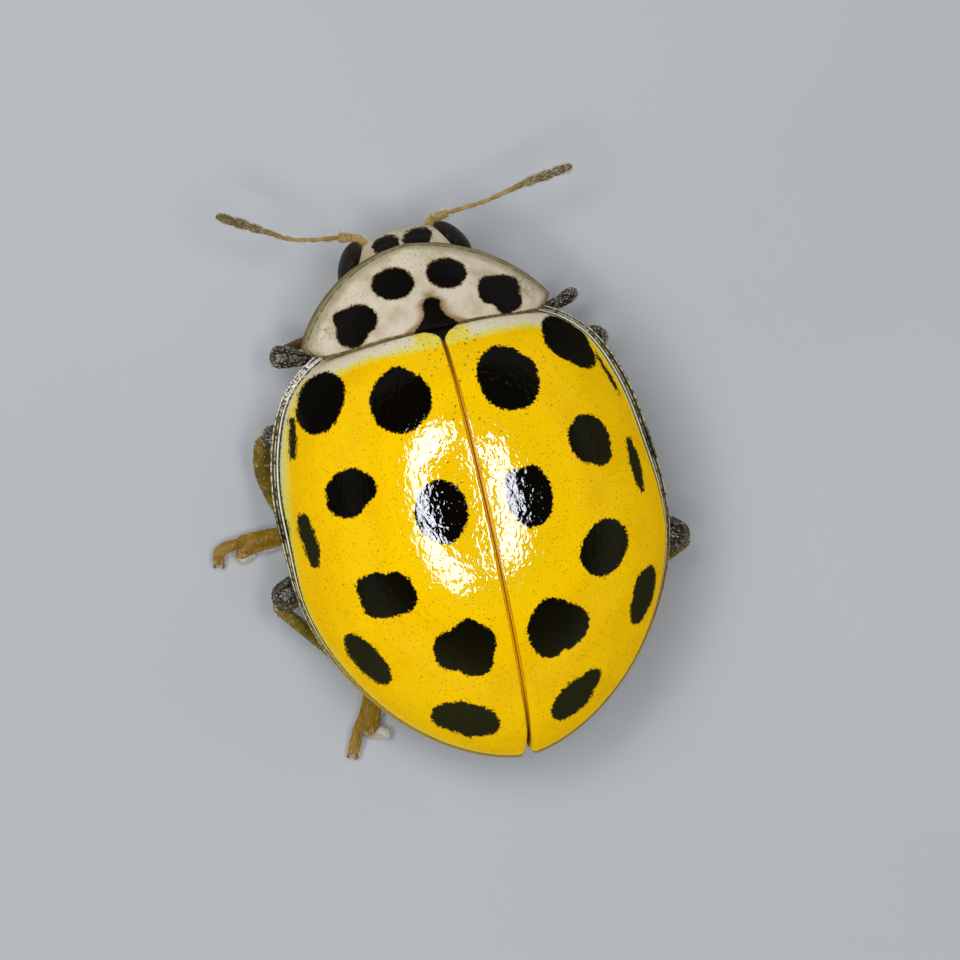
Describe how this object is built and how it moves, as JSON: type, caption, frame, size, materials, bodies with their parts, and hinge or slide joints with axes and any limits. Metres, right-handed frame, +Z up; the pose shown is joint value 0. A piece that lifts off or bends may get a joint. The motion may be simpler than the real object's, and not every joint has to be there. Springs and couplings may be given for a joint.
{
  "type": "ladybird",
  "caption": "Still, life-size model of a yellow ladybird with black spots, standing with its feelers out and legs half drawn in.",
  "frame": {"origin": "on the ground below the closed seam of the wing cases, within half a millimetre of the middle of the model's box", "axes": "+Z up, +Y from the head towards the tail, +X towards the animal's left side"},
  "size_m": [0.0036, 0.0045, 0.002],
  "materials": {
    "elytra": "glossy bright yellow wing cases with near-black spots, fine pits and a glassy rim",
    "black_plate": "glossy near-black plate",
    "shield": "satin cream-white shield with near-black spots and clear margins",
    "under_body": "satin dark brown-black under side with fine hairs",
    "head_shell": "satin cream-white head with near-black marks",
    "eyes": "finely faceted black eyes",
    "mouthparts": "amber-brown mouthparts",
    "antennae": "amber base, pale gold shaft and dark grey-brown club, finely haired",
    "femora": "dark brown-black thighs with grey hairs",
    "tibiae": "olive-brown shins with pale hairs",
    "tarsi": "reddish amber feet with whitish pads"
  },
  "bodies": {
    "root": {"elytron_left": "elytra", "elytron_right": "elytra", "scutellum": "black_plate", "pronotum": "shield", "prothorax": "under_body", "thorax": "under_body", "abdomen": "under_body", "head": "head_shell", "eye_left": "eyes", "eye_right": "eyes", "mouthparts": "mouthparts", "antenna_left": "antennae", "antenna_right": "antennae", "leg_front_left_femur": "femora", "leg_front_left_tibia": "tibiae", "leg_front_left_tarsus": "tarsi", "leg_front_right_femur": "femora", "leg_front_right_tibia": "tibiae", "leg_front_right_tarsus": "tarsi", "leg_middle_left_femur": "femora", "leg_middle_left_tibia": "tibiae", "leg_middle_left_tarsus": "tarsi", "leg_middle_right_femur": "femora", "leg_middle_right_tibia": "tibiae", "leg_middle_right_tarsus": "tarsi", "leg_hind_left_femur": "femora", "leg_hind_left_tibia": "tibiae", "leg_hind_left_tarsus": "tarsi", "leg_hind_right_femur": "femora", "leg_hind_right_tibia": "tibiae", "leg_hind_right_tarsus": "tarsi"}
  },
  "joints": []
}
